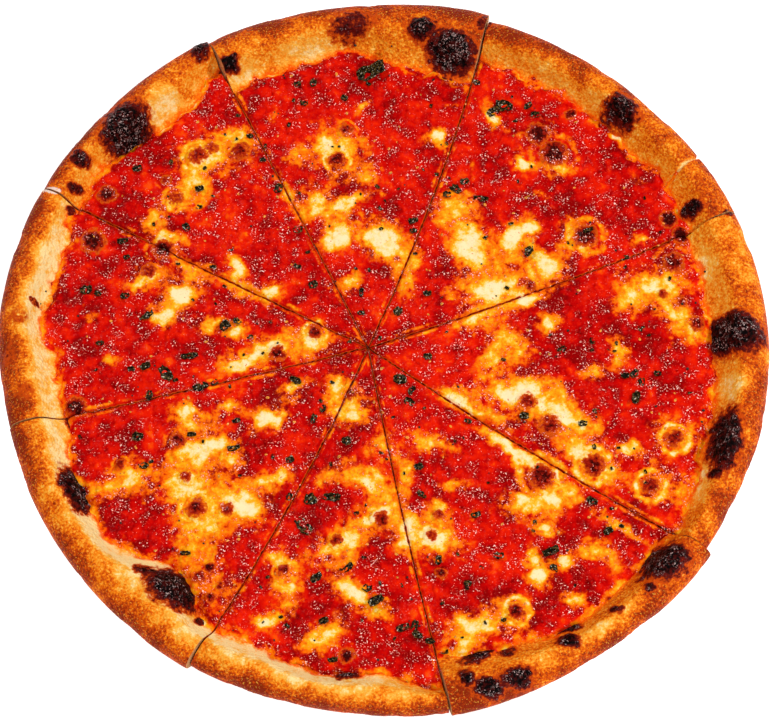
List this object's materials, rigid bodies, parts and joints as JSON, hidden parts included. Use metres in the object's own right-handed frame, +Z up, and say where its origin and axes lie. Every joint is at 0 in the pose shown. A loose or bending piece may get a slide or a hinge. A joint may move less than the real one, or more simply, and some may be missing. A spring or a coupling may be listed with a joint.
{
  "type": "margherita pizza",
  "caption": "Round margherita pizza with a raised, blistered rim, tomato and pools of melted mozzarella, cut into slices that lie together.",
  "frame": {"origin": "middle of the pizza's outline, on the surface that it rests on", "axes": "+Z up, +X to the right and +Y away from the viewer as the picture shows the pizza"},
  "size_m": [0.3344, 0.3309, 0.0201],
  "materials": {
    "baked_dough": "matt, browned and charred in spots",
    "tomato": "moist, granular, half gloss",
    "mozzarella": "melted, half gloss, browned in spots"
  },
  "bodies": {
    "root": {"cheese_1a": "mozzarella", "cheese_1b": "mozzarella", "cheese_1c": "mozzarella", "cheese_1d": "mozzarella", "cheese_2a": "mozzarella", "cheese_2b": "mozzarella", "cheese_2c": "mozzarella", "cheese_2d": "mozzarella", "cheese_3a": "mozzarella", "cheese_3b": "mozzarella", "cheese_3c": "mozzarella", "cheese_4a": "mozzarella", "cheese_4b": "mozzarella", "cheese_4c": "mozzarella", "cheese_4d": "mozzarella", "cheese_5a": "mozzarella", "cheese_5b": "mozzarella", "cheese_5c": "mozzarella", "cheese_5d": "mozzarella", "cheese_6a": "mozzarella", "cheese_6b": "mozzarella", "cheese_6c": "mozzarella", "cheese_6d": "mozzarella", "cheese_7a": "mozzarella", "cheese_7b": "mozzarella", "cheese_7c": "mozzarella", "cheese_7d": "mozzarella", "cheese_8a": "mozzarella", "cheese_8b": "mozzarella", "cheese_8c": "mozzarella", "cheese_8d": "mozzarella", "cheese_8e": "mozzarella", "crust_1": "baked_dough", "crust_2": "baked_dough", "crust_3": "baked_dough", "crust_4": "baked_dough", "crust_5": "baked_dough", "crust_6": "baked_dough", "crust_7": "baked_dough", "crust_8": "baked_dough", "sauce_1": "tomato", "sauce_2": "tomato", "sauce_3": "tomato", "sauce_4": "tomato", "sauce_5": "tomato", "sauce_6": "tomato", "sauce_7": "tomato", "sauce_8": "tomato"}
  },
  "joints": []
}
